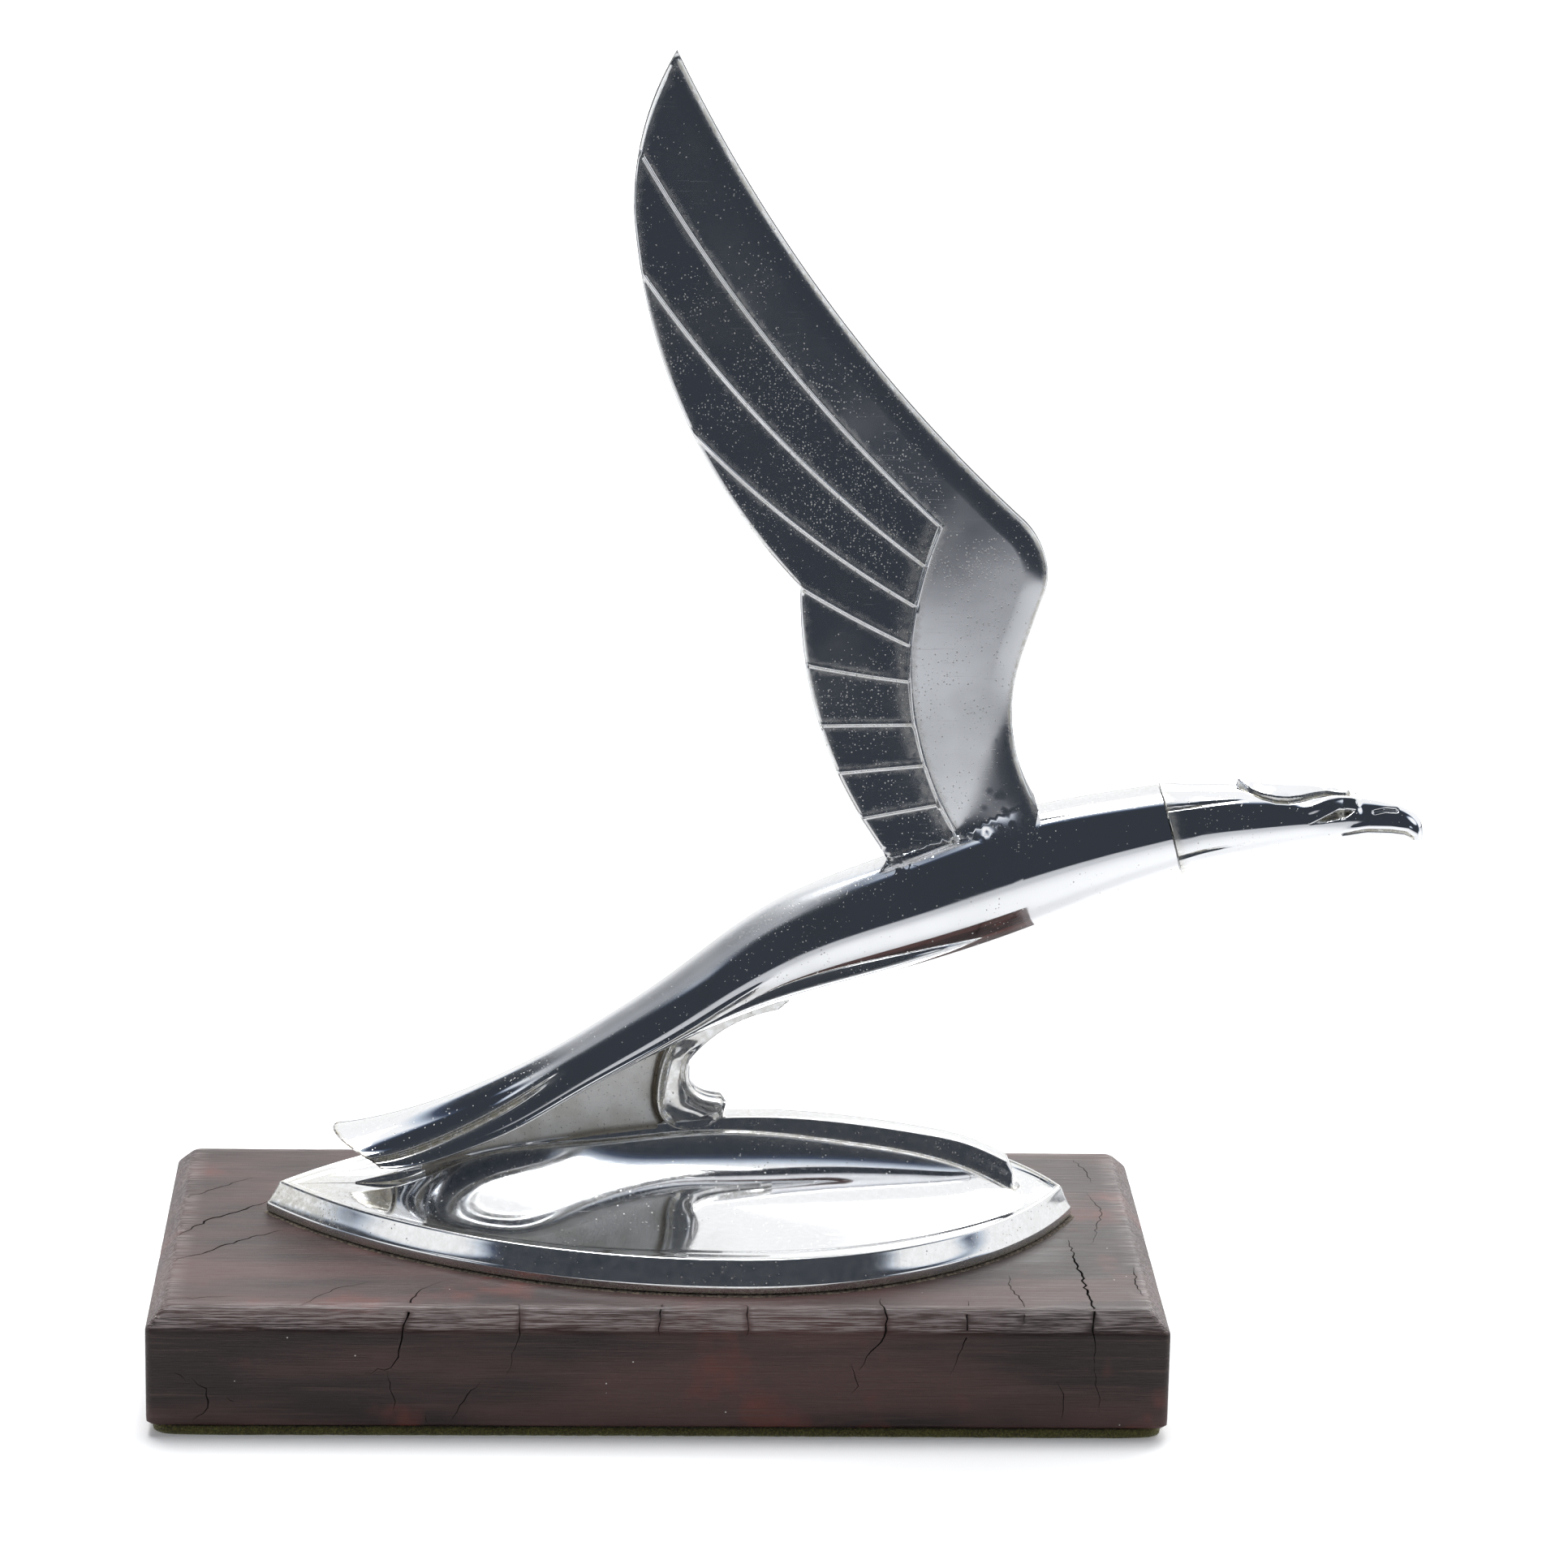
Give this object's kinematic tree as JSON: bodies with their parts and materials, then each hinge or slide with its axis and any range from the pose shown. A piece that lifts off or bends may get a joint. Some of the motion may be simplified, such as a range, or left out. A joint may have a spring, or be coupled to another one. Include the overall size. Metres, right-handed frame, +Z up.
{
  "type": "hood ornament",
  "caption": "Chromed flying eagle with raised wings on a dished pointed-oval base, screwed to a bevelled wooden display plinth; the head turns on the neck.",
  "frame": {"origin": "centre of the underside of the felt pad, on the surface the plinth stands on", "axes": "+X towards the beak, +Y to the eagle's left, +Z up"},
  "size_m": [0.2253, 0.0913, 0.2352],
  "materials": {
    "chrome_plate": "bright chrome over die-cast metal, pitted with age",
    "fastener_steel": "plain machined steel",
    "bush_brass": "turned brass, dull",
    "dark_wood": "old dark hardwood with a worn matt varnish and cracks",
    "green_felt": "olive-green wool felt"
  },
  "bodies": {
    "stand": {"plinth_block": "dark_wood", "felt_pad": "green_felt", "base_plate": "chrome_plate", "body": "chrome_plate", "left_wing": "chrome_plate", "right_wing": "chrome_plate", "neck_bush": "bush_brass", "plinth_bolt_front": "fastener_steel", "plinth_bolt_rear": "fastener_steel", "plinth_washer_front": "fastener_steel", "plinth_washer_rear": "fastener_steel", "leg_screw": "fastener_steel", "leg_washer": "fastener_steel", "tail_screw": "fastener_steel", "tail_washer": "fastener_steel", "wing_pin_front": "fastener_steel", "wing_pin_rear": "fastener_steel"},
    "head": {"head": "chrome_plate", "head_spindle": "fastener_steel", "head_pin": "fastener_steel", "spindle_clip": "fastener_steel", "spindle_washer": "fastener_steel"}
  },
  "joints": [
    {"name": "head_turn", "type": "hinge", "parent": "stand", "child": "head", "pos_m": [0.0908, 0.006, 0.097], "axis": [0.9659, 0, 0.2588], "range_deg": [0, 90]}
  ]
}
